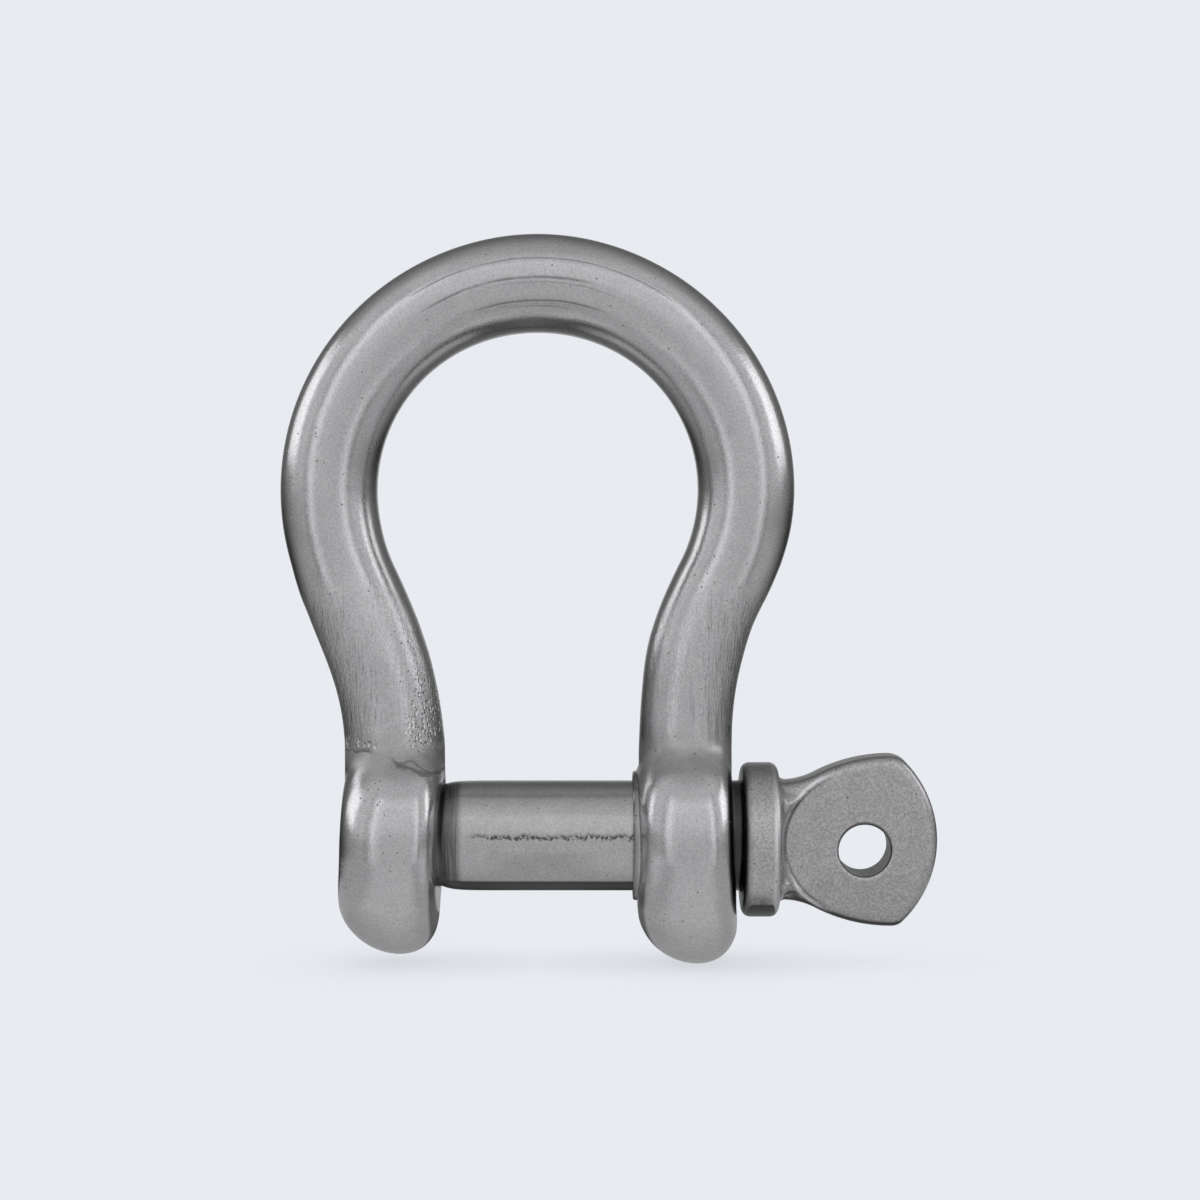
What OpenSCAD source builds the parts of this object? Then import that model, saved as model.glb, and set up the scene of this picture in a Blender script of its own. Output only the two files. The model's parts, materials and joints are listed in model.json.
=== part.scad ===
// Bow shackle: a one-piece bow with two ears, closed by a one-piece screw pin.
//
// The origin is on the pin's axis, midway between the ears. X runs along the pin
// toward its head, Y crosses the bow's plane and Z points up to the crown.

/* [Bow] */
// Diameter of the round bar that the bow is formed from
rod_d = 10; // [9:0.1:10]
// Radius of the crown's arc, to the middle of the bar
crown_r = 21.7; // [20.5:0.1:23]
// Height of the crown arc's centre above the pin
crown_z = 36; // [35:0.5:42]
// Radius of the reverse bend above each ear, to the middle of the bar
waist_r = 40; // [30:1:44]

/* [Ears] */
// Clear width between the ears
jaw_w = 20; // [19:0.5:24]
// Thickness of each ear
ear_t = 10.2; // [10.1:0.1:11]
// Width of each ear across the pin
ear_w = 19.6; // [18.6:0.2:24]
// How far each ear's round end is carried down below the pin
ear_drop = 2.7; // [1:0.1:4]
// Depth of the chamfer at each mouth of the ears' holes
hole_chamfer = 0.5; // [0.3:0.1:0.8]

/* [Screw pin] */
// Diameter of the plain shank
shank_d = 11.4; // [11:0.1:12]
// Diameter over the thread's crests
thread_d = 10; // [9.5:0.1:10]
// Chamfer at the thread's end
thread_chamfer = 1; // [0.5:0.1:1.5]
// How far the thread's end stops short of the tapped ear's outside
thread_inset = 0.4; // [0:0.1:2]
// Length of the taper where the shank runs down into the tapped ear
taper_l = 2.8; // [2:0.1:4]
// Diameter of the collar
collar_d = 16; // [14.5:0.1:18]
// Thickness of the collar
collar_t = 3.8; // [3:0.1:5]
// Radius of the collar's rounded edges
collar_edge = 0.9; // [0.5:0.1:1.2]

/* [Head] */
// Length of the flat head, from the collar to its tip
head_l = 16.6; // [16:0.1:18]
// Height of the flat head across its crests
head_h = 17.8; // [17:0.1:19]
// Thickness of the flat head
head_t = 4.5; // [3.5:0.1:5.5]
// Distance from the head's tip back to its crests
crest_inset = 4.9; // [4.5:0.1:5.5]
// Width of the neck where the head leaves the collar
neck_w = 12.1; // [11:0.1:12.3]
// Radius of the head's long upper and lower edges
flank_r = 17; // [16:0.5:20]
// Radius of the head's rounded end
tip_r = 12.6; // [12:0.1:14]
// Radius of the head's two corners
corner_r = 1.6; // [1:0.1:2]
// Drop of the cast collar and head below the turned shank's axis
head_drop = 0.4; // [0:0.1:0.6]
// Angle that the head stands at when the pin is screwed home
head_turn = 4.5; // [-20:0.5:20]
// Diameter of the eye for the seizing wire
eye_d = 5.6; // [4:0.1:6]
// Distance from the head's tip back to the eye's centre
eye_inset = 7.7; // [7:0.1:9]
// Drop of the eye's centre below the head's own middle line
eye_drop = 0.85; // [0:0.05:1.2]

/* [Fits] */
// Radial gap between the shank and the plain ear's hole
shank_gap = 0.3; // [0.1:0.05:0.4]
// Radial gap between the thread's crests and the tapped ear's hole
thread_gap = 0.1; // [0.05:0.05:0.15]
// Gap between the plain ear and the collar when the pin is home
collar_gap = 0.8; // [0.3:0.1:1.5]

/* [Hidden] */
$fn = 96;

bow_colour = [0.70, 0.70, 0.71];
pin_colour = [0.62, 0.61, 0.62];
overlap = 1;  // how far joined solids run into each other

// Bow: where the ears stand, and where the crown's arc turns into the waist's
ear_x = (jaw_w + ear_t) / 2;
rim_r = ear_t / 2;
waist_angle = acos((ear_x + waist_r) / (crown_r + waist_r));
waist_z = crown_z - (crown_r + waist_r) * sin(waist_angle);

// The waist's bends are a hair thinner than the bar they join, and their ends lap
// into it, so that no two joined solids share a tangent surface
waist_thinning = 0.1;
waist_lap = 0.6;
waist_d = rod_d - waist_thinning;
lap_angle = atan(waist_lap / waist_r);

// Screw pin: stations along X
jaw_x = jaw_w / 2;
thread_x = -jaw_x - ear_t + thread_inset;
collar_x = jaw_x + ear_t + collar_gap;
neck_x = collar_x + collar_t;
tip_x = neck_x + head_l;
shoulder_d = thread_d + hole_chamfer;

// Head: centres of the arcs that make its upper edge, each tangent to the next
flank_c = [tip_x - crest_inset, head_h / 2 - flank_r];
tip_c = [tip_x - tip_r, 0];
corner_c = upper_meeting(flank_c, flank_r - corner_r, tip_c, tip_r - corner_r);
neck_run = flank_c.x - neck_x;
neck_rise = neck_w / 2 - flank_c.y;
neck_r = (neck_run ^ 2 + neck_rise ^ 2 - flank_r ^ 2) / (2 * (flank_r - neck_rise));
neck_c = [neck_x, neck_w / 2 + neck_r];

// Head: round-ended recess that thins the neck, just clear of the collar
recess_r = 7.1;
recess_clearance = 0.7;
recess_x = neck_x + recess_clearance + recess_r;
eye_x = tip_x - eye_inset;

// Direction from point a to point b, in degrees
function heading(a, b) = atan2(b.y - a.y, b.x - a.x);

// Upper point where a circle of radius ra about a meets one of radius rb about b
function upper_meeting(a, ra, b, rb) =
    let (gap = norm(b - a),
         unit = (b - a) / gap,
         along = (gap ^ 2 + ra ^ 2 - rb ^ 2) / (2 * gap),
         across = sqrt(ra ^ 2 - along ^ 2))
    a + along * unit + sign(unit.x) * across * [-unit.y, unit.x];

// Points along an arc about c, from one angle up to but not including another
function arc(c, r, from, to, steps = 8) =
    [for (i = [0:steps - 1])
        let (angle = from + (to - from) * i / steps)
        c + r * [cos(angle), sin(angle)]];

// Upper edge of the head: neck, flank, corner and tip
function upper_edge() = concat(
    arc(neck_c, neck_r, -90, heading(neck_c, flank_c)),
    arc(flank_c, flank_r, heading(flank_c, neck_c), heading(flank_c, corner_c)),
    arc(corner_c, corner_r, heading(flank_c, corner_c), heading(tip_c, corner_c)),
    arc(tip_c, tip_r, heading(tip_c, corner_c), 0));

// The same points mirrored below the middle line, in reverse order
function mirrored(points) =
    [for (i = [len(points) - 1:-1:0]) [points[i].x, -points[i].y]];

// Lays what is built along Z on the X axis instead, starting at x
module along_x(x) translate([x, 0, 0]) rotate([0, 90, 0]) children();

// One bend of a bar in the XZ plane, about the centre x, z
module bend(x, z, r, d, from, to)
    translate([x, 0, z]) rotate([90, 0, 0]) rotate([0, 0, from])
        rotate_extrude(angle = to - from) translate([r, 0]) circle(d = d);

// Reverse bend and straight leg on the plain ear's side
module leg() {
    bend(ear_x + waist_r, waist_z, waist_r, waist_d, 180 - waist_angle - lap_angle, 180 + lap_angle);
    translate([ear_x, 0, 0]) cylinder(d = rod_d, h = waist_z);
}

// Half of an ear's round end, with a fully rounded rim
module ear_half(turn) rotate([0, 0, turn]) rotate_extrude(angle = 180) {
    translate([0, -rim_r]) square([ear_w / 2 - rim_r, ear_t]);
    intersection() {
        translate([ear_w / 2 - rim_r, 0]) circle(r = rim_r);
        translate([0, -rim_r]) square([ear_w / 2, ear_t]);
    }
}

// Ear centred on x: two round ends, with a straight band between them
module ear(x) along_x(x) {
    ear_half(90);
    translate([ear_drop, 0, 0]) ear_half(-90);
    rotate([0, 90, 0]) linear_extrude(ear_drop) {
        square([ear_t, ear_w - ear_t], center = true);
        for (side = [-1, 1])
            translate([0, side * (ear_w - ear_t) / 2]) circle(r = rim_r);
    }
}

// Hole through the ear centred on x, with both mouths chamfered
module ear_hole(x, d) {
    along_x(x - ear_t) cylinder(d = d, h = 2 * ear_t);
    for (side = [-1, 1])
        translate([x + side * ear_t / 2, 0, 0]) rotate([0, side * 90, 0])
            translate([0, 0, -hole_chamfer])
                cylinder(d1 = d, d2 = d + 4 * hole_chamfer, h = 2 * hole_chamfer);
}

// Crown, two legs and two ears; the ear at -X is the tapped one
module bow() color(bow_colour) difference() {
    union() {
        bend(0, crown_z, crown_r, rod_d, -waist_angle, 180 + waist_angle);
        leg();
        mirror([1, 0, 0]) leg();
        ear(ear_x);
        ear(-ear_x);
    }
    ear_hole(ear_x, shank_d + 2 * shank_gap);
    ear_hole(-ear_x, thread_d + 2 * thread_gap);
}

// Thread, taper and shank, turned on one axis
module shank() along_x(0) rotate_extrude() polygon([
    [0, thread_x],
    [thread_d / 2 - thread_chamfer, thread_x],
    [thread_d / 2, thread_x + thread_chamfer],
    [thread_d / 2, -jaw_x - hole_chamfer],
    [shoulder_d / 2, -jaw_x],
    [shank_d / 2, -jaw_x + taper_l],
    [shank_d / 2, collar_x + overlap],
    [0, collar_x + overlap]]);

// Collar with rounded edges
module collar() along_x(collar_x) rotate_extrude() {
    square([collar_d / 2 - collar_edge, collar_t]);
    translate([0, collar_edge]) square([collar_d / 2, collar_t - 2 * collar_edge]);
    for (y = [collar_edge, collar_t - collar_edge])
        translate([collar_d / 2 - collar_edge, y]) circle(r = collar_edge);
}

// Round neck, thinned to the flat head by the recess on both sides
module neck() difference() {
    along_x(neck_x - overlap) cylinder(d = neck_w, h = recess_r + overlap);
    for (side = [-1, 1])
        translate([recess_x, side * (head_t / 2 + neck_w), 0]) rotate([90, 0, 0])
            cylinder(r = recess_r, h = 2 * neck_w, center = true);
}

// Flat plate of the head, in the XZ plane
module plate() rotate([90, 0, 0]) linear_extrude(head_t, center = true)
    polygon(concat(
        [[neck_x - overlap, -neck_w / 2], [neck_x - overlap, neck_w / 2]],
        upper_edge(),
        [[tip_x, 0]],
        mirrored(upper_edge())));

// Neck and plate with the eye through them
module head() difference() {
    union() {
        neck();
        plate();
    }
    translate([eye_x, 0, -eye_drop]) rotate([90, 0, 0])
        cylinder(d = eye_d, h = 2 * neck_w, center = true);
}

// Turned shank with the cast collar and head a little below its axis
module screw_pin() color(pin_colour) {
    shank();
    translate([0, 0, -head_drop]) {
        collar();
        rotate([head_turn, 0, 0]) head();
    }
}

bow();
screw_pin();
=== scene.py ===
# Bow shackle: finished surfaces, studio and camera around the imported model.
#
# Shapes are written as signed distance fields in millimetres, meshed, and scaled to
# metres. X runs along the pin, Y crosses the bow's plane and Z points up to the crown.

import json
import math

import bmesh
import bpy
import numpy as np
from mathutils import Matrix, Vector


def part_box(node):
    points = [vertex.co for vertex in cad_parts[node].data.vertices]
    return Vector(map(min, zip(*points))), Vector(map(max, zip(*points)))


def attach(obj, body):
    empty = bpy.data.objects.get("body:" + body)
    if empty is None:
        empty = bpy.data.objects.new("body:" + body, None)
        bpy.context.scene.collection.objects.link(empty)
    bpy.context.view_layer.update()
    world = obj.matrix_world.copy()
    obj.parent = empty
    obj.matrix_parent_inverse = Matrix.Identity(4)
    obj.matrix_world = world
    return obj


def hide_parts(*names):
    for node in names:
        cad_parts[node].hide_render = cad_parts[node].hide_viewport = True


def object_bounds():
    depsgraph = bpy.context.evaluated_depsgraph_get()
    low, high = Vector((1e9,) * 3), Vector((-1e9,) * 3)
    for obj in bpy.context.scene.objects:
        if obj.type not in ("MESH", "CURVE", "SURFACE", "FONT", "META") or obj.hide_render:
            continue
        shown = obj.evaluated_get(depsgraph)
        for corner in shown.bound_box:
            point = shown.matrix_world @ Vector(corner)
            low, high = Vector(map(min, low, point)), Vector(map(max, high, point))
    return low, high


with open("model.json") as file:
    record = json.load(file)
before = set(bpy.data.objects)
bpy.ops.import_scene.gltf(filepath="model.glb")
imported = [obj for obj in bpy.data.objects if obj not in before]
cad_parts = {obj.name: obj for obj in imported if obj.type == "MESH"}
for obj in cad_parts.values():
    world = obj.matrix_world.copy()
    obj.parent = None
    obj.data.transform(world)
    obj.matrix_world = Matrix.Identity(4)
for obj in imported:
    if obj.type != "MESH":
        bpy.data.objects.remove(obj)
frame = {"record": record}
cad_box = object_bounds()

MM = 0.001

# ---------------------------------------------------------------- driving dimensions

mounts = {mount["name"]: mount["dims"] for mount in frame["record"]["mounts"]}
bow_low, bow_high = (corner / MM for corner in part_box("bow"))
pin_low, pin_high = (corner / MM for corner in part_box("screw_pin"))

ROD_R = mounts["crown_saddle"]["r_mm"]
SHANK_R = mounts["pin_span"]["r_mm"]
JAW_X = mounts["pin_span"]["length_mm"] / 2
EYE_R = mounts["seizing_eye"]["r_mm"]
HEAD_HALF_T = mounts["seizing_eye"]["length_mm"] / 2

# Bow
CROWN_R = bow_high.x - ROD_R
CROWN_Z = bow_high.z - ROD_R - CROWN_R
WAIST_R = 40.0
EAR_T = 10.2
EAR_BOTTOM_LEFT = 12.25
EAR_BOTTOM_RIGHT = 13.25
EAR_TAPER = math.radians(15)
BOSS_R = 6.7
HOLE_CHAMFER = 0.5
SHANK_GAP = 0.3
EAR_HALF_W = bow_high.y
EAR_X = JAW_X + EAR_T / 2
WAIST_ANGLE = math.acos((EAR_X + WAIST_R) / (CROWN_R + WAIST_R))
WAIST_Z = CROWN_Z - (CROWN_R + WAIST_R) * math.sin(WAIST_ANGLE)

# Screw pin: stations along X
THREAD_X = pin_low.x
TIP_X = pin_high.x
COLLAR_R = 8.0
COLLAR_T = 3.8
COLLAR_EDGE = 0.9
HEAD_L = 16.6
NECK_X = TIP_X - HEAD_L
COLLAR_X = NECK_X - COLLAR_T
PITCH = 1.5
CREST_R = 4.95
ROOT_R = 4.2

# Head, in its own frame: dropped below the shank's axis and turned about it
HEAD_DROP = 0.4
HEAD_TURN = math.radians(4.5)
HEAD_HALF_H = 8.9
CREST_X = TIP_X - 4.9
NECK_HALF_W = 6.05
FLANK_R = 17.0
TIP_R = 11.8
EYE_X = TIP_X - 7.7
EYE_DROP = 0.85
RECESS_R = 7.15
RECESS_CLEARANCE = 0.65


# ---------------------------------------------------------------- distance fields

def blend_min(a, b, reach):
    """Union of two fields, with a fillet that starts where they differ by reach."""
    overlap = np.maximum(reach - np.abs(a - b), 0)
    return np.minimum(a, b) - overlap ** 2 / (4 * reach)


def blend_max(a, b, reach):
    """Intersection of two fields, with a rounded edge."""
    return -blend_min(-a, -b, reach)


def bump_at(value, centre, width):
    return np.exp(-((value - centre) / width) ** 2)


def rod_field(x, y, z):
    """The bent bar: crown arc, reverse bends and straight legs, as unevenly cast."""
    x = x - 0.13 + 0.27 * np.clip((z - 10) / 11, 0, 1) + 0.31 * bump_at(z, 22.4, 7)
    z = z + 0.011 * np.maximum(z - CROWN_Z, 0)
    side = np.abs(x)
    waist_x = EAR_X + WAIST_R
    above = (z - CROWN_Z) * waist_x > (WAIST_Z - CROWN_Z) * side
    crown = np.hypot(side, z - CROWN_Z) - CROWN_R
    waist = np.hypot(side - waist_x, z - WAIST_Z) - WAIST_R
    leg = np.hypot(side - EAR_X, np.minimum(z, 0))
    middle = np.where(above, crown, np.where(z > WAIST_Z, waist, leg))
    left_heavier = -0.2 * np.clip((28 - z) / 6, 0, 1) * x / np.hypot(x, 6)
    top_heavier = 0.14 * bump_at(x, 0, 10) * (z > CROWN_Z)
    uneven = 0.06 * bump_at(z, 19.5, 3) - 0.1 * bump_at(z, 27.5, 3.5) - 0.05 * bump_at(z, 13, 4)
    return np.hypot(middle, y) - (ROD_R + 0.03 + left_heavier + top_heavier + uneven)


def ear_field(x, y, z, centre_x, half_t, bottom, lean):
    """An ear with a rounded rim: a disc about the pin, drawn out to a narrower end below.

    The rim's crest leans toward +X by lean.
    """
    taper = math.sin(EAR_TAPER)
    steep = math.cos(EAR_TAPER)
    disc_r = EAR_HALF_W - half_t
    drawn = (bottom - half_t - disc_r) / (1 - taper)
    end_r = disc_r - taper * drawn
    depth = np.abs(y)
    disc = np.hypot(y, z) - disc_r
    end = np.hypot(y, z + drawn) - end_r
    flank = steep * depth - taper * z - disc_r
    along = -steep * z - taper * depth
    out = np.where(along < 0, disc, np.where(along > steep * drawn, end, flank))
    out = np.maximum(out, 0)
    across = np.abs(x - centre_x - lean * (out / half_t) ** 2) * (1 + 0.0004 * y ** 2)
    square = 2.5 - 0.45 * np.clip((-z - 4) / 4, 0, 1)
    return (out ** square + across ** square) ** (1 / square) - half_t


def bow_field(x, y, z):
    """The bar and both ears, blended; each ear slants a little and its lower end is skewed."""
    skew = 0.25 * np.clip((-z - 7) / 3, 0, 1)
    half_t = EAR_T / 2
    left = ear_field(x, y, z, -EAR_X - 0.14 + 0.04 * z + skew, half_t, EAR_BOTTOM_LEFT, 1.1)
    right = ear_field(x, y, z, EAR_X - 0.028 * z + skew, half_t, EAR_BOTTOM_RIGHT, 0.7)
    fillet = 0.05 + 1.8 * np.clip((np.abs(y) - 1) / 4, 0, 1)
    return blend_min(rod_field(x, y, z), np.minimum(left, right), fillet)


def thread_wave(x, y, z):
    """0 at the root and 1 at the crest of a right-hand thread along X."""
    turn = np.arctan2(z, y) / (2 * math.pi)
    phase = (x / PITCH - turn) % 1
    return np.clip(1.4 * np.abs(2 * phase - 1) - 0.2, 0, 1)


def shank_field(x, y, z):
    """Thread, rounded run-out and plain shank, turned on one axis."""
    radius = np.hypot(y, z)
    thread_r = ROOT_R + (CREST_R - ROOT_R) * thread_wave(x, y, z)
    shank_r = SHANK_R - 0.45 * np.exp(-np.maximum(x + JAW_X, 0))
    run_out = np.clip((x + JAW_X + 1.1) / 0.5, 0, 1)
    wall = radius - (thread_r + (shank_r - thread_r) * run_out)
    chamfer = (radius - (CREST_R - 1.0) - (x - THREAD_X)) * math.sqrt(0.5)
    ends = np.maximum(THREAD_X - x, x - NECK_X)
    return np.maximum(np.maximum(wall, chamfer), ends)


def collar_field(x, y, z):
    """Round collar with rounded edges, cast a little below the shank's axis."""
    along = np.abs(x - (COLLAR_X + NECK_X) / 2) - (COLLAR_T / 2 - COLLAR_EDGE)
    out = np.hypot(y, z + HEAD_DROP) - (COLLAR_R - COLLAR_EDGE)
    outside = np.hypot(np.maximum(along, 0), np.maximum(out, 0))
    return outside + np.minimum(np.maximum(along, out), 0) - COLLAR_EDGE


def head_edge(x, height):
    """Upper and lower edges of the head: a hollow neck running into a long flank."""
    flank_z = HEAD_HALF_H - FLANK_R
    run = CREST_X - NECK_X
    rise = NECK_HALF_W - flank_z
    neck_r = (run ** 2 + rise ** 2 - FLANK_R ** 2) / (2 * (FLANK_R - rise))
    neck_z = NECK_HALF_W + neck_r
    flank = np.hypot(x - CREST_X, height - flank_z) - FLANK_R
    neck = neck_r - np.hypot(x - NECK_X, height - neck_z)
    before = (x - NECK_X) * (flank_z - neck_z) > (height - neck_z) * run
    return np.where(before, neck, flank)


def head_field(x, y, z):
    """Flat head with its eye, and the thicker neck that a round recess cuts back."""
    z = z + HEAD_DROP
    y, z = (y * math.cos(HEAD_TURN) + z * math.sin(HEAD_TURN),
            z * math.cos(HEAD_TURN) - y * math.sin(HEAD_TURN))
    height = np.abs(z)
    depth = np.abs(y)
    edge = head_edge(x, height)
    tip = np.hypot(x - (TIP_X - 0.1 - TIP_R), height) - TIP_R
    corner = np.where(z < 0, 0.4, 0.7)
    outline = np.maximum(blend_max(edge, tip, corner), NECK_X - 1 - x)
    plate = blend_max(outline, depth - HEAD_HALF_T, 1.3)
    neck_half_t = HEAD_HALF_T + 3.2 * np.clip((NECK_X + 8 - x) / 8, 0, 1) ** 1.5
    neck = blend_max(outline, depth - neck_half_t, 6.0)
    recess_r = RECESS_R + 0.5 * (depth - HEAD_HALF_T)
    recess_x = x - NECK_X - RECESS_R - RECESS_CLEARANCE
    recess = np.maximum(np.hypot(recess_x, z + 0.2) - recess_r, HEAD_HALF_T - depth)
    neck = blend_max(neck, -recess, 0.5)
    solid = blend_min(plate, neck, 0.5)
    eye = EYE_R - 0.1 - np.hypot(x - EYE_X, z + EYE_DROP)
    return blend_max(solid, eye, 0.35)


def pin_field(x, y, z):
    turned = blend_min(shank_field(x, y, z), collar_field(x, y, z), 0.5)
    return blend_min(turned, head_field(x, y, z), 0.8)


# ---------------------------------------------------------------- meshing

BOW_CELL = 0.3
PIN_CELL = 0.19


def gradient(field, points):
    step = 0.01
    slopes = []
    for axis in range(3):
        offset = np.zeros(3)
        offset[axis] = step
        slopes.append(field(*(points + offset).T) - field(*(points - offset).T))
    return np.stack(slopes, axis=1) / (2 * step)


def settle(field, points):
    """Moves points onto the surface where the field is zero."""
    for _ in range(3):
        slope = gradient(field, points)
        length = np.maximum((slope ** 2).sum(1), 0.04)
        points = points - (field(*points.T) / length)[:, None] * slope
    return points


def relax(field, points, quads, rounds=6):
    """Evens out the mesh along the surface."""
    starts = quads.ravel()
    ends = np.roll(quads, -1, axis=1).ravel()
    a = np.concatenate([starts, ends])
    b = np.concatenate([ends, starts])
    count = np.bincount(a, minlength=len(points))[:, None]
    for _ in range(rounds):
        mean = np.stack([np.bincount(a, points[b, axis], len(points)) for axis in range(3)], 1)
        points = settle(field, points + 0.6 * (mean / count - points))
    return points


def surface_net(field, low, high, cell):
    """Closed quad mesh of the surface where the field is zero, in millimetres."""
    axes = [np.arange(lo - 2 * cell, hi + 3 * cell, cell) for lo, hi in zip(low, high)]
    values = field(*np.meshgrid(*axes, indexing="ij", sparse=True)).astype(np.float32)
    inside = values < 0
    corners = [(i, j, k) for i in (0, 1) for j in (0, 1) for k in (0, 1)]
    size = [n - 1 for n in values.shape]
    shifted = [inside[i:i + size[0], j:j + size[1], k:k + size[2]] for i, j, k in corners]
    full = np.logical_and.reduce(shifted)
    some = np.logical_or.reduce(shifted)
    cells = np.argwhere(some & ~full)
    number = np.full(size, -1, np.int32)
    number[tuple(cells.T)] = np.arange(len(cells))
    points = np.zeros((len(cells), 3))
    hits = np.zeros(len(cells))
    for axis in range(3):
        for corner in corners:
            if corner[axis]:
                continue
            first = cells + corner
            second = first.copy()
            second[:, axis] += 1
            a = values[tuple(first.T)]
            b = values[tuple(second.T)]
            crossed = (a < 0) != (b < 0)
            share = np.where(crossed, a / np.where(crossed, a - b, 1), 0)
            place = first.astype(float)
            place[:, axis] += share
            points += np.where(crossed[:, None], place, 0)
            hits += crossed
    points = points / hits[:, None] * cell + [axis[0] for axis in axes]
    quads = []
    for axis in range(3):
        u, v = (axis + 1) % 3, (axis + 2) % 3
        here = np.moveaxis(inside, axis, 0)
        crossed = np.argwhere(here[:-1] != here[1:])
        edge = np.zeros((len(crossed), 3), int)
        others = [n for n in range(3) if n != axis]
        edge[:, axis] = crossed[:, 0]
        edge[:, others[0]] = crossed[:, 1]
        edge[:, others[1]] = crossed[:, 2]
        ring = []
        for du, dv in ((-1, -1), (0, -1), (0, 0), (-1, 0)):
            neighbour = edge.copy()
            neighbour[:, u] += du
            neighbour[:, v] += dv
            ring.append(number[tuple(neighbour.T)])
        quad = np.stack(ring, axis=1)
        leaving = inside[tuple(edge.T)]
        quads.append(np.where(leaving[:, None], quad, quad[:, ::-1]))
    quads = np.concatenate(quads)
    points = settle(field, points)
    return relax(field, points, quads), quads


def mesh_object(name, points, faces):
    mesh = bpy.data.meshes.new(name)
    mesh.from_pydata((points * MM).tolist(), [], [list(face) for face in faces])
    mesh.validate()
    piece = bpy.data.objects.new(name, mesh)
    bpy.context.scene.collection.objects.link(piece)
    mesh.shade_smooth()
    return piece


def field_object(name, field, low, high, cell):
    points, quads = surface_net(field, low, high, cell)
    return mesh_object(name, points, quads.tolist())


def turned_object(name, radius_at, stations, segments=96):
    """Closed mesh around the X axis; radius_at takes a station and the point's angle."""
    angles = np.arange(segments) * 2 * math.pi / segments
    points = []
    for x in stations:
        for angle in angles:
            r = radius_at(x, angle)
            points.append((x, r * math.cos(angle), r * math.sin(angle)))
    faces = []
    for row in range(len(stations) - 1):
        for n in range(segments):
            m = (n + 1) % segments
            a, b = row * segments, (row + 1) * segments
            faces.append((a + n, a + m, b + m, b + n))
    faces.append(tuple(reversed(range(segments))))
    last = (len(stations) - 1) * segments
    faces.append(tuple(range(last, last + segments)))
    return mesh_object(name, np.array(points), faces)


def combine(piece, tool, operation):
    """Applies a boolean with a tool mesh, and removes the tool."""
    step = piece.modifiers.new("boolean", "BOOLEAN")
    step.operation = operation
    step.object = tool
    step.solver = "MANIFOLD"
    graph = bpy.context.evaluated_depsgraph_get()
    mesh = bpy.data.meshes.new_from_object(piece.evaluated_get(graph))
    piece.modifiers.clear()
    piece.data = mesh
    mesh.materials.clear()
    bpy.data.objects.remove(tool)


def sharpen(piece, degrees):
    """Marks edges sharper than an angle, so that machined edges stay crisp."""
    mesh = piece.data
    work = bmesh.new()
    work.from_mesh(mesh)
    for face in work.faces:
        face.material_index = 0
        face.smooth = True
    for edge in work.edges:
        edge.smooth = len(edge.link_faces) == 2 and edge.calc_face_angle() < math.radians(degrees)
    work.to_mesh(mesh)
    work.free()


# ---------------------------------------------------------------- the two pieces

def plain_hole():
    """Cutter for the plain ear's hole, with both mouths chamfered."""
    r = SHANK_R + SHANK_GAP
    inner, outer = JAW_X - 0.25, JAW_X + EAR_T
    stations = [inner - 1, inner + HOLE_CHAMFER, outer - HOLE_CHAMFER, outer + 1]
    radii = dict(zip(stations, [r + HOLE_CHAMFER + 1, r, r, r + HOLE_CHAMFER + 1]))
    return turned_object("plain_hole", lambda x, angle: radii[x], stations)


def tapped_hole():
    """Cutter for the tapped ear's hole: grooves cut outward from its bore."""
    bore_r = CREST_R + 0.15
    groove = 0.65
    low, high = -JAW_X - EAR_T - 1, -JAW_X + 1
    stations = np.linspace(low, high, 8 * round((high - low) / PITCH) + 1)

    def radius_at(x, angle):
        wave = float(thread_wave(x, math.cos(angle), math.sin(angle)))
        mouth = max(low + 1 + HOLE_CHAMFER - x, x - (high - 1 - HOLE_CHAMFER))
        return max(bore_r + groove * wave, bore_r + 0.4 + mouth)

    return turned_object("tapped_hole", radius_at, stations)


def build_bow():
    low = (bow_low.x - 0.5, -EAR_HALF_W - 0.5, bow_low.z - 1)
    high = (bow_high.x + 0.5, EAR_HALF_W + 0.5, bow_high.z + 0.5)
    bow = field_object("shackle_bow", bow_field, low, high, BOW_CELL)
    boss = {JAW_X - 0.25: BOSS_R - 0.15, JAW_X - 0.1: BOSS_R, JAW_X + 3: BOSS_R}
    combine(bow, turned_object("boss", lambda x, angle: boss[x], list(boss)), "UNION")
    combine(bow, plain_hole(), "DIFFERENCE")
    combine(bow, tapped_hole(), "DIFFERENCE")
    sharpen(bow, 32)
    return bow


def build_pin():
    low = (pin_low.x, -COLLAR_R - 0.5, -HEAD_HALF_H - 1)
    high = (pin_high.x, COLLAR_R + 0.5, HEAD_HALF_H + 1)
    return field_object("shackle_pin", pin_field, low, high, PIN_CELL)


bow = build_bow()
pin = build_pin()
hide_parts("bow")
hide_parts("screw_pin")
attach(bow, "bow")
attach(pin, "pin")


# ---------------------------------------------------------------- shader nodes

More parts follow.
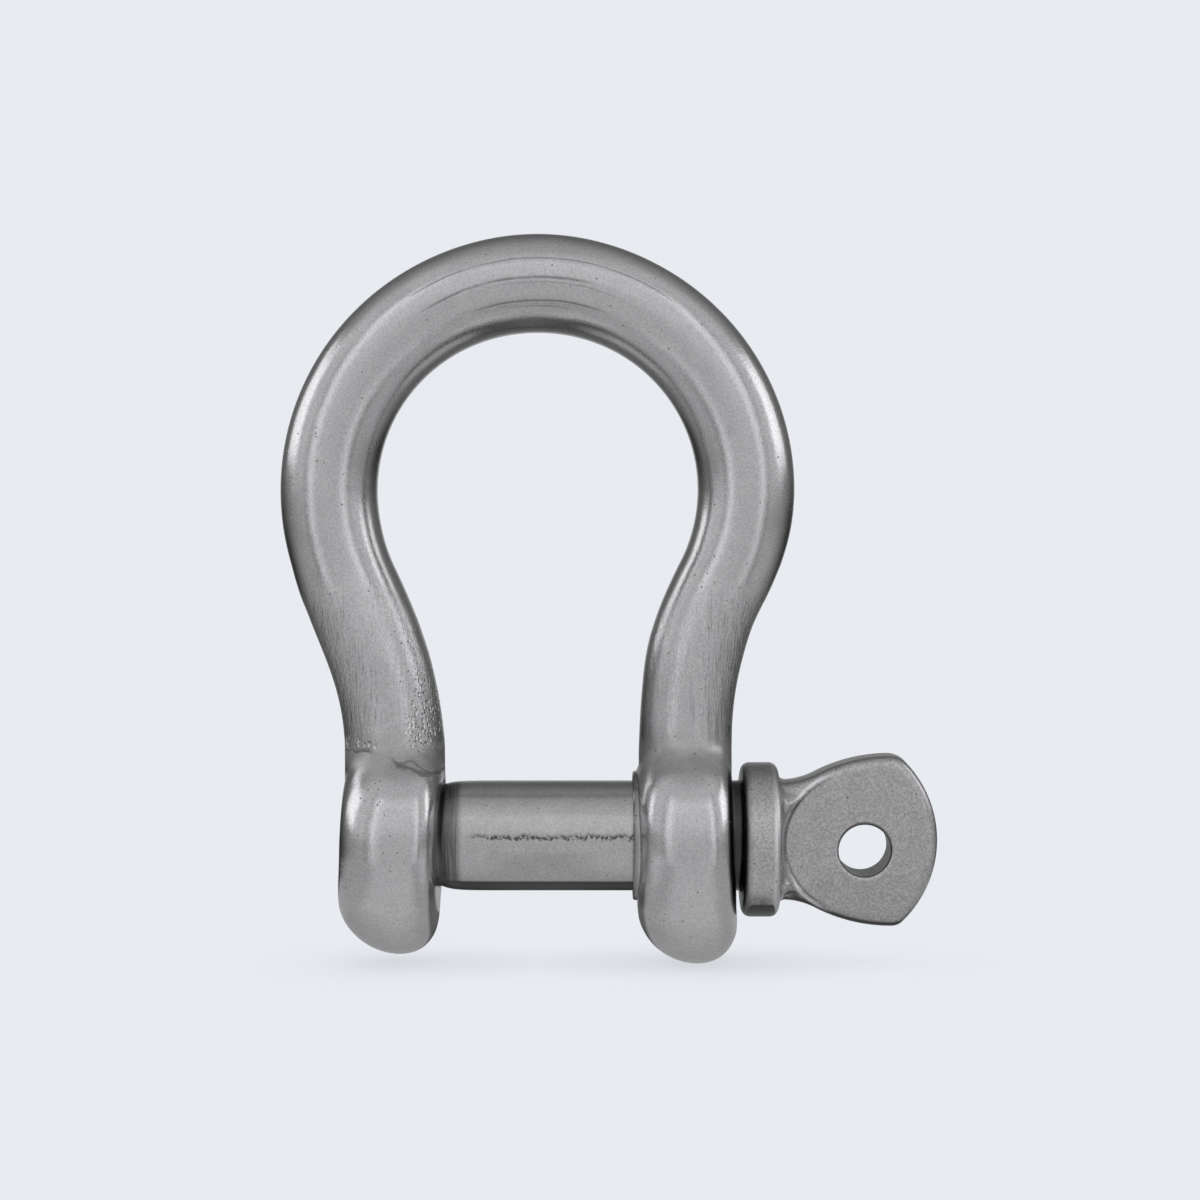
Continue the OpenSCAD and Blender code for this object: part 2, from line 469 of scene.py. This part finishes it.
class Nodes:
    """Writes node expressions: each call adds a node and returns its output."""

    def __init__(self, tree):
        self.tree = tree

    def add(self, kind, inputs=(), **settings):
        node = self.tree.nodes.new(kind)
        for name, value in settings.items():
            setattr(node, name, value)
        for key, value in dict(inputs).items():
            if isinstance(value, bpy.types.NodeSocket):
                self.tree.links.new(value, node.inputs[key])
            else:
                node.inputs[key].default_value = value
        return node

    def math(self, operation, a, b=0.0, c=0.0):
        return self.add("ShaderNodeMath", {0: a, 1: b, 2: c}, operation=operation).outputs[0]

    def hypot(self, a, b):
        return self.math("SQRT", self.plus(self.math("POWER", a, 2.0), self.math("POWER", b, 2.0)))

    def step(self, value, low, high, to_low=0.0, to_high=1.0):
        """Smooth step of value, from to_low at low to to_high at high."""
        return self.add("ShaderNodeMapRange", {0: value, 1: low, 2: high, 3: to_low, 4: to_high},
                        interpolation_type="SMOOTHSTEP").outputs[0]

    def times(self, *values):
        result = values[0]
        for value in values[1:]:
            result = self.math("MULTIPLY", result, value)
        return result

    def plus(self, *values):
        result = values[0]
        for value in values[1:]:
            result = self.math("ADD", result, value)
        return result

    def near(self, value, centre, width):
        """1 at the centre, falling smoothly to 0 at width away."""
        away = self.math("ABSOLUTE", self.math("SUBTRACT", value, centre))
        return self.step(away, 0.0, width, 1.0, 0.0)

    def between(self, value, low, high, soft):
        return self.times(self.step(value, low - soft, low + soft),
                          self.step(value, high - soft, high + soft, 1.0, 0.0))

    def noise(self, vector, scale, detail=2.0, roughness=0.5):
        return self.add("ShaderNodeTexNoise",
                        {"Vector": vector, "Scale": scale, "Detail": detail,
                         "Roughness": roughness}).outputs[0]

    def stretched(self, vector, scale):
        return self.add("ShaderNodeMapping", {"Vector": vector, "Scale": scale}).outputs[0]

    def mix(self, share, a, b):
        node = self.add("ShaderNodeMix", {0: share}, data_type="RGBA")
        for socket, value in ((node.inputs[6], a), (node.inputs[7], b)):
            if isinstance(value, bpy.types.NodeSocket):
                self.tree.links.new(value, socket)
            else:
                socket.default_value = value
        return node.outputs[2]

    def bump(self, height, distance, strength=1.0, normal=None):
        inputs = {"Height": height, "Distance": distance, "Strength": strength}
        if normal is not None:
            inputs["Normal"] = normal
        return self.add("ShaderNodeBump", inputs).outputs[0]


def new_material(name):
    material = bpy.data.materials.new(name)
    material.use_nodes = True
    tree = material.node_tree
    shader = tree.nodes["Principled BSDF"]
    shader.inputs["Metallic"].default_value = 1.0
    nodes = Nodes(tree)
    place = nodes.add("ShaderNodeTexCoord").outputs["Object"]
    split = nodes.add("ShaderNodeSeparateXYZ", {0: place})
    return material, tree, shader, nodes, place, split.outputs


def pits(nodes, place, scale, size, share):
    """1 in small scattered hollows; share is how much of the surface may have them."""
    cell = nodes.add("ShaderNodeTexVoronoi", {"Vector": place, "Scale": scale})
    hollow = nodes.step(cell.outputs["Distance"], size * 0.4, size, 1.0, 0.0)
    chance = nodes.add("ShaderNodeSeparateColor", {0: cell.outputs["Color"]}).outputs[0]
    kept = nodes.math("LESS_THAN", chance, share)
    return nodes.times(hollow, kept)


# Polishing lines on the crown: radius and half width in mm, strength, and the angles
# from the top, in degrees toward +X, between which each one shows
CROWN_LINES = [
    (23.5, 0.16, 0.70, -32, 34),
    (21.4, 0.24, 1.00, -31, 14),
    (20.9, 0.15, 0.55, -10, 22),
    (19.1, 0.20, 1.00, -18, 19),
    (18.6, 0.15, 0.60, -8, 9),
]


def crown_lines(n, x, z, wobble, streak):
    """Fine lines that follow the crown, where it was polished along its length."""
    up = n.math("SUBTRACT", z, CROWN_Z * MM)
    radius = n.hypot(x, up)
    radius = n.plus(radius, n.times(n.math("SUBTRACT", wobble, 0.5), 0.0004))
    angle = n.times(n.math("ARCTAN2", x, up), 180 / math.pi)
    lines = 0.0
    for r, half_width, strength, start, end in CROWN_LINES:
        line = n.times(n.near(radius, r * MM, half_width * MM), n.between(angle, start, end, 5.0))
        lines = n.plus(lines, n.times(line, strength))
    return n.times(lines, n.step(streak, 0.2, 0.5, 0.35, 1.0))


def bow_steel():
    """Cast stainless steel, polished to a satin: pits, faint lines, patches of wear, and painted shade
    where the bar meets the ears and at the plain hole's mouth.
    """
    material, tree, shader, n, place, (x, y, z) = new_material("bow_steel")
    wobble = n.noise(place, 160.0, 2.0)
    streak = n.noise(place, 260.0, 3.0, 0.7)
    cloud = n.noise(place, 420.0, 4.0, 0.6)
    grain = n.noise(place, 4200.0, 3.0, 0.65)
    facing = n.step(y, -1.0 * MM, 1.0 * MM, 1.0, 0.0)
    lines = crown_lines(n, x, z, wobble, streak)

    # Pits all over, more of them in a few patches
    ear_front = n.times(n.near(x, -16.4 * MM, 2.0 * MM), n.near(z, 5.0 * MM, 3.5 * MM))
    crowded = n.plus(n.step(cloud, 0.50, 0.7, 0.09, 0.45), n.times(ear_front, 0.5))
    fine = pits(n, place, 1500.0, 0.21, crowded)

    # Granular patches where the tapped ear's leg was dressed
    inner_patch = n.times(n.near(x, -11.6 * MM, 3.4 * MM), n.near(z, 12.6 * MM, 6.5 * MM))
    outer_patch = n.times(n.near(x, -18.6 * MM, 3.6 * MM), n.near(z, 9.8 * MM, 1.3 * MM))
    patch = n.times(n.math("MAXIMUM", inner_patch, outer_patch), facing)
    patch = n.step(n.times(patch, n.step(streak, 0.35, 0.6, 0.3, 1.0)), 0.12, 0.45)
    rough_patch = n.times(pits(n, place, 3100.0, 0.55, 0.45), patch)
    bright_patch = n.times(pits(n, n.stretched(place, (0.8, 1.0, 0.5)), 3600.0, 0.6, 0.4), patch)

    # Flash line left where the tapped ear's mould halves met
    flash_z = n.plus(n.step(x, -17.5 * MM, -11.0 * MM, 8.9 * MM, 7.0 * MM),
                     n.times(n.math("SUBTRACT", streak, 0.5), 0.002))
    loop_z = n.plus(flash_z, n.times(n.near(x, -12.6 * MM, 1.7 * MM), 0.8 * MM))
    flash = n.math("MAXIMUM", n.near(z, flash_z, 0.34 * MM), n.times(n.near(z, loop_z, 0.26 * MM), 0.7))
    flash = n.times(flash, facing,
                    n.step(x, -9.0 * MM, -8.0 * MM, 1.0, 0.0),
                    n.step(n.near(x, -15.8 * MM, 2.4 * MM), 0.2, 0.8, 1.0, 0.15))
    marks = n.math("MAXIMUM", n.math("MAXIMUM", fine, rough_patch), n.plus(lines, flash))

    # Painted shade where the bar runs into the ears, in the crease of the fillet, and at the plain hole's
    # inner mouth beside the pin
    joint_shade = n.times(n.near(z, 8.6 * MM, 3.0 * MM), n.step(cloud, 0.2, 0.7, 0.5, 1.0))
    from_axis = n.hypot(y, z)
    mouth = n.times(n.near(x, (JAW_X - 0.2) * MM, 1.0 * MM),
                    n.step(from_axis, 6.9 * MM, 7.3 * MM, 1.0, 0.0))

    # Dressing marks that run down the lower legs
    file_marks = n.noise(n.stretched(place, (3600.0, 3600.0, 170.0)), 1.0, 3.0, 0.7)
    dressed = n.times(n.between(z, 10.0 * MM, 25.0 * MM, 2.5 * MM),
                      n.step(n.math("SUBTRACT", n.math("ABSOLUTE", x), EAR_X * MM),
                             -1.0 * MM, 3.0 * MM, 0.25, 1.0))

    tone = n.mix(cloud, (0.58, 0.57, 0.58, 1), (0.71, 0.705, 0.71, 1))
    tone = n.mix(n.step(grain, 0.35, 0.65, 0.34, 0.0), tone, (0.32, 0.315, 0.32, 1))
    tone = n.mix(n.times(n.step(file_marks, 0.52, 0.68, 0.0, 0.55), dressed), tone, (0.25, 0.245, 0.25, 1))
    # Painted shade: darker where the bar runs into the ears
    tone = n.mix(n.times(joint_shade, 0.65), tone, (0.27, 0.26, 0.26, 1))
    # Painted shade at the plain hole's inner mouth, where the pin meets the boss
    tone = n.mix(n.times(mouth, 0.7), tone, (0.16, 0.155, 0.155, 1))
    tone = n.mix(n.times(bright_patch, 0.7), tone, (0.98, 0.975, 0.98, 1))
    tone = n.mix(n.times(marks, 0.65), tone, (0.12, 0.115, 0.12, 1))
    tree.links.new(tone, shader.inputs["Base Color"])
    sheen = n.plus(0.12, n.times(cloud, 0.08), n.times(marks, 0.2), n.times(joint_shade, 0.36))
    tree.links.new(sheen, shader.inputs["Roughness"])
    normal = n.bump(wobble, 0.20 * MM, 0.5)
    normal = n.bump(n.times(file_marks, dressed), 0.15 * MM, 0.9, normal)
    normal = n.bump(n.times(bright_patch, -1.0), 0.10 * MM, 0.9, normal)
    normal = n.bump(grain, 0.02 * MM, 0.7, normal)
    normal = n.bump(n.math("SUBTRACT", 1.0, marks), 0.04 * MM, 0.8, normal)
    tree.links.new(normal, shader.inputs["Normal"])
    return material


def pin_steel():
    """Turned shank with a seam, and a grainy cast collar and head."""
    material, tree, shader, n, place, (x, y, z) = new_material("pin_steel")
    cloud = n.noise(place, 500.0, 4.0, 0.6)
    grain = n.noise(place, 4200.0, 3.0, 0.65)
    rings = n.noise(n.stretched(place, (5200.0, 160.0, 160.0)), 1.0, 3.0, 0.6)
    cast = n.step(x, (COLLAR_X - 0.1) * MM, (COLLAR_X + 0.1) * MM)
    facing = n.step(y, -1.0 * MM, 1.0 * MM, 1.0, 0.0)

    # Seam along the front of the shank
    ragged = n.noise(n.stretched(place, (900.0, 100.0, 100.0)), 1.0, 4.0, 0.7)
    torn = n.noise(place, 2600.0, 2.0, 0.7)
    seam_z = n.plus(z, n.times(n.math("SUBTRACT", ragged, 0.5), 0.0009),
                    n.times(n.math("SUBTRACT", torn, 0.5), 0.0006))
    seam = n.times(n.near(seam_z, 0.35 * MM, 0.46 * MM),
                   n.between(x, -6.5 * MM, 11.0 * MM, 0.8 * MM),
                   n.step(torn, 0.40, 0.55, 0.15, 1.0), facing)

    # Painted shade on the run-out beside the tapped ear, and fine pits elsewhere
    run_out = n.step(x, (-JAW_X + 1.4) * MM, (-JAW_X + 2.4) * MM, 1.0, 0.0)
    fine = n.times(pits(n, place, 1700.0, 0.2, 0.2), n.step(cloud, 0.35, 0.6))
    marks = n.math("MAXIMUM", seam, fine)

    # Scale in the grain; painted shade along the underside and the head's lower edges, beside
    # the ear and inside the eye; and a dark blotch low on the collar
    surface = n.add("ShaderNodeNewGeometry").outputs["Normal"]
    facing_up = n.add("ShaderNodeSeparateXYZ", {0: surface}).outputs[2]
    on_head = n.step(x, NECK_X * MM, (NECK_X + 2.0) * MM)
    under = n.math("MAXIMUM", n.step(facing_up, -0.79, -0.74, 1.0, 0.0),
                   n.times(n.step(facing_up, -0.70, -0.30, 1.0, 0.0), on_head))
    scale = n.times(n.step(grain, 0.35, 0.65, 1.0, 0.0), n.plus(0.3, n.times(cast, 0.25)))
    beside = n.between(x, (COLLAR_X - 1.0) * MM, (COLLAR_X + 0.3) * MM, 0.15 * MM)
    blotch = n.times(n.near(x, (COLLAR_X + 1.5) * MM, 2.4 * MM), n.near(z, -7.2 * MM, 2.4 * MM))
    eye_x = n.math("SUBTRACT", x, EYE_X * MM)
    eye_z = n.plus(z, (EYE_DROP + HEAD_DROP) * MM)
    in_eye = n.step(n.hypot(eye_x, eye_z), (EYE_R - 0.05) * MM, (EYE_R + 0.15) * MM, 0.75, 0.0)
    in_eye = n.times(in_eye, cast)
    shade_and_blotch = n.math("MAXIMUM", n.math("MAXIMUM", under, beside),
                   n.math("MAXIMUM", in_eye, n.times(blotch, n.step(cloud, 0.3, 0.5))))

    # Collar: painted highlight along its rounded outer edge, painted shade beside the ear
    collar_edge_highlight = n.times(n.near(x, (NECK_X - 0.6) * MM, 0.35 * MM), n.step(ragged, 0.35, 0.6, 0.3, 1.0))
    collar_gap_shade = n.times(n.near(x, (COLLAR_X + 0.3) * MM, 0.7 * MM), n.step(ragged, 0.3, 0.6, 0.4, 1.0))

    # Crisp inner edge of the neck's recess: a painted highlight beside a line of painted shade
    recess_x = n.math("SUBTRACT", x, (NECK_X + RECESS_R + RECESS_CLEARANCE) * MM)
    recess_z = n.plus(z, (HEAD_DROP + 0.2) * MM)
    recess_r = n.plus(n.hypot(recess_x, recess_z), n.times(n.math("SUBTRACT", grain, 0.5), 0.0003))
    on_neck = n.times(n.step(x, (NECK_X + 3.5) * MM, (NECK_X + 6.0) * MM, 1.0, 0.0), cast, facing)
    recess_highlight = n.times(n.near(recess_r, (RECESS_R + 0.35) * MM, 0.24 * MM), on_neck)
    shaded = n.times(n.near(recess_r, (RECESS_R - 0.05) * MM, 0.20 * MM), on_neck)

    tone = n.mix(cloud, (0.52, 0.51, 0.515, 1), (0.68, 0.67, 0.675, 1))
    tone = n.mix(scale, tone, (0.25, 0.245, 0.25, 1))
    # Painted highlight along the collar's rounded outer edge
    tone = n.mix(n.times(collar_edge_highlight, 0.6), tone, (0.95, 0.94, 0.95, 1))
    # Painted shade on the collar beside the ear, in the gap between them
    tone = n.mix(n.times(collar_gap_shade, 0.7), tone, (0.12, 0.115, 0.12, 1))
    # Painted shade on the underside, beside the ear and inside the eye, with the collar's dark blotch
    tone = n.mix(n.times(shade_and_blotch, 0.95), tone, (0.045, 0.043, 0.045, 1))
    # Painted highlight and painted shade along the recess's inner edge
    tone = n.mix(n.times(recess_highlight, 0.7), tone, (0.95, 0.94, 0.95, 1))
    tone = n.mix(n.times(shaded, 0.7), tone, (0.12, 0.115, 0.12, 1))
    # Painted shade on the run-out beside the tapped ear, broken up by the rings
    tone = n.mix(n.times(run_out, n.step(rings, 0.3, 0.7, 0.95, 0.65)), tone,
                 (0.09, 0.087, 0.09, 1))
    tone = n.mix(n.times(marks, 0.9), tone, (0.05, 0.047, 0.05, 1))
    tree.links.new(tone, shader.inputs["Base Color"])
    sheen = n.plus(0.20, n.times(cloud, 0.08), n.times(cast, 0.07), n.times(marks, 0.2))
    tree.links.new(sheen, shader.inputs["Roughness"])
    normal = n.bump(n.times(rings, n.math("SUBTRACT", 1.0, cast)), 0.010 * MM, 0.7)
    normal = n.bump(n.times(grain, n.plus(0.4, cast)), 0.03 * MM, 0.7, normal)
    normal = n.bump(n.math("SUBTRACT", 1.0, marks), 0.06 * MM, 0.8, normal)
    tree.links.new(normal, shader.inputs["Normal"])
    return material


bow.data.materials.append(bow_steel())
pin.data.materials.append(pin_steel())


# ---------------------------------------------------------------- studio

BACKDROP = (0.806, 0.831, 0.871)
CARD_TONE = (0.99, 0.985, 1.0)
CAMERA_DISTANCE = 0.243


def stage_object(name, work):
    """Object around the part, from a bmesh, with an empty material of its own."""
    mesh = bpy.data.meshes.new(name)
    work.to_mesh(mesh)
    work.free()
    item = bpy.data.objects.new(name, mesh)
    bpy.context.scene.collection.objects.link(item)
    material = bpy.data.materials.new(name + "_glow")
    material.use_nodes = True
    material.node_tree.nodes.clear()
    mesh.materials.append(material)
    return item, material.node_tree


def glow(tree, n, tone, strength):
    """Makes a material shine by itself."""
    shine = n.add("ShaderNodeEmission", {"Color": (*tone, 1), "Strength": strength})
    output = n.add("ShaderNodeOutputMaterial")
    tree.links.new(shine.outputs[0], output.inputs[0])


def pale_floor():
    """Plain floor that fades into the backdrop, with a soft contact shadow."""
    bottom = (bow_low.z - 0.75) * MM
    work = bmesh.new()
    bmesh.ops.create_circle(work, cap_ends=True, segments=96, radius=3.0,
                            matrix=Matrix.Translation((0, 0, bottom)))
    floor, tree = stage_object("floor", work)
    n = Nodes(tree)
    shade = n.add("ShaderNodeAmbientOcclusion", {"Distance": 0.012}, samples=8).outputs["AO"]
    glow(tree, n, BACKDROP, n.step(shade, 0.0, 1.0, 0.80, 1.0))
    floor.visible_glossy = False
    floor.visible_diffuse = False
    floor.visible_shadow = False


def reflector():
    """Pale card below, seen only in reflections: it lights the ears' ends."""
    width = 130 * MM
    depth = 70 * MM
    work = bmesh.new()
    bmesh.ops.create_grid(work, x_segments=1, y_segments=1, size=0.5)
    for vert in work.verts:
        vert.co.x *= width
        vert.co.y = vert.co.y * depth + 9 * MM
        vert.co.z = (bow_low.z - 1.5) * MM
    card, tree = stage_object("reflector", work)
    n = Nodes(tree)
    place = n.add("ShaderNodeTexCoord").outputs["Object"]
    x, y, _ = n.add("ShaderNodeSeparateXYZ", {0: place}).outputs
    side = n.math("ABSOLUTE", x)
    below_ears = n.between(side, 5.0 * MM, 28.0 * MM, 3.0 * MM)
    nearer = n.step(y, -14.0 * MM, 2.0 * MM, 0.14, -0.06)
    under_bow = n.times(n.step(side, 15.0 * MM, 21.0 * MM, 1.0, 0.0), n.step(y, 3.0 * MM, 9.0 * MM))
    level = n.plus(0.46, n.times(below_ears, nearer), n.times(under_bow, -0.30))
    glow(tree, n, CARD_TONE, level)
    card.visible_camera = False
    card.visible_diffuse = False
    card.visible_shadow = False


def studio_light():
    """Softboxes around the object: one in front, one to each side, dim behind and above."""
    world = bpy.data.worlds.new("studio")
    bpy.context.scene.world = world
    world.use_nodes = True
    tree = world.node_tree
    tree.nodes.clear()
    n = Nodes(tree)
    direction = n.add("ShaderNodeTexCoord").outputs["Generated"]
    x, y, z = n.add("ShaderNodeSeparateXYZ", {0: direction}).outputs
    degrees = 180 / math.pi
    turn = n.times(n.math("ARCTAN2", x, n.math("MULTIPLY", y, -1.0)), degrees)
    side = n.math("ABSOLUTE", turn)
    rise = n.times(n.math("ARCSINE", z), degrees)
    off_axis = n.times(n.math("ARCCOSINE", n.math("MULTIPLY", y, -1.0)), degrees)

    # Room: even in front, dark beside and behind, with a dim light far behind
    level = n.step(off_axis, 75.0, 140.0, 0.50, 0.16)
    level = n.plus(level, n.step(off_axis, 150.0, 170.0, 0.0, 0.40))
    overhead = n.times(n.between(rise, 40.0, 68.0, 8.0), n.step(side, 80.0, 110.0, 1.0, 0.0))
    level = n.plus(level, n.times(overhead, 0.13))

    # Front softbox, brighter toward its upper half and its upright edges
    front = n.times(n.step(side, 43.0, 45.0, 1.0, 0.0), n.between(rise, -38.0, 46.0, 3.0))
    upper = n.step(rise, -8.0, 25.0, 0.08, 0.26)
    border = n.times(n.step(side, 26.0, 39.0, 0.0, 0.36), n.step(rise, -30.0, 10.0, 0.3, 1.0))
    level = n.plus(level, n.times(front, n.plus(upper, border)))

    # Walls beside it, beyond a dark frame, and the gap below it
    wall = n.times(n.between(side, 45.0, 92.0, 3.0), n.between(rise, 2.0, 42.0, 5.0))
    level = n.plus(level, n.times(wall, 0.18))
    frame_edge = n.times(n.near(side, 53.0, 4.0), n.between(rise, -30.0, 50.0, 3.0))
    level = n.plus(level, n.times(frame_edge, -0.30))
    gap = n.times(n.near(rise, -53.0, 4.0), n.step(side, 15.0, 25.0, 1.0, 0.0))
    level = n.plus(level, n.times(gap, -0.25))

    # Side softboxes, and the darker band at table height below them
    strips = n.plus(n.between(turn, 80.0, 113.0, 4.0), n.between(turn, -120.0, -86.0, 4.0))
    level = n.plus(level, n.times(strips, n.between(rise, 9.0, 35.0, 3.0), 1.05))
    horizon = n.times(n.near(rise, -6.0, 16.0), n.step(side, 55.0, 75.0))
    level = n.plus(level, n.times(horizon, -0.12))
    beneath = n.times(n.step(off_axis, 96.0, 112.0), n.step(rise, -50.0, -40.0, 1.0, 0.0))
    level = n.times(level, n.plus(1.0, n.times(beneath, -0.55)))

    studio = n.add("ShaderNodeBackground", {"Color": (*CARD_TONE, 1), "Strength": level})
    backdrop = n.add("ShaderNodeBackground", {"Color": (*BACKDROP, 1), "Strength": 1.0})
    seen = n.add("ShaderNodeLightPath").outputs["Is Camera Ray"]
    both = n.add("ShaderNodeMixShader", {0: seen, 1: studio.outputs[0], 2: backdrop.outputs[0]})
    output = n.add("ShaderNodeOutputWorld")
    tree.links.new(both.outputs[0], output.inputs[0])


def front_camera():
    """Level camera square to the bow's plane, a little right of the bow's middle."""
    low, high = cad_box
    centre = (low + high) / 2
    data = bpy.data.cameras.new("camera")
    data.lens = 70
    data.sensor_width = 36
    data.clip_start = 0.01
    data.clip_end = 20
    camera = bpy.data.objects.new("camera", data)
    bpy.context.scene.collection.objects.link(camera)
    camera.location = (centre.x - 1.0 * MM, -CAMERA_DISTANCE, centre.z - 0.6 * MM)
    camera.rotation_euler = (math.pi / 2, 0, 0)
    bpy.context.scene.camera = camera


pale_floor()
reflector()
studio_light()
front_camera()
bpy.context.scene.view_settings.view_transform = "Standard"
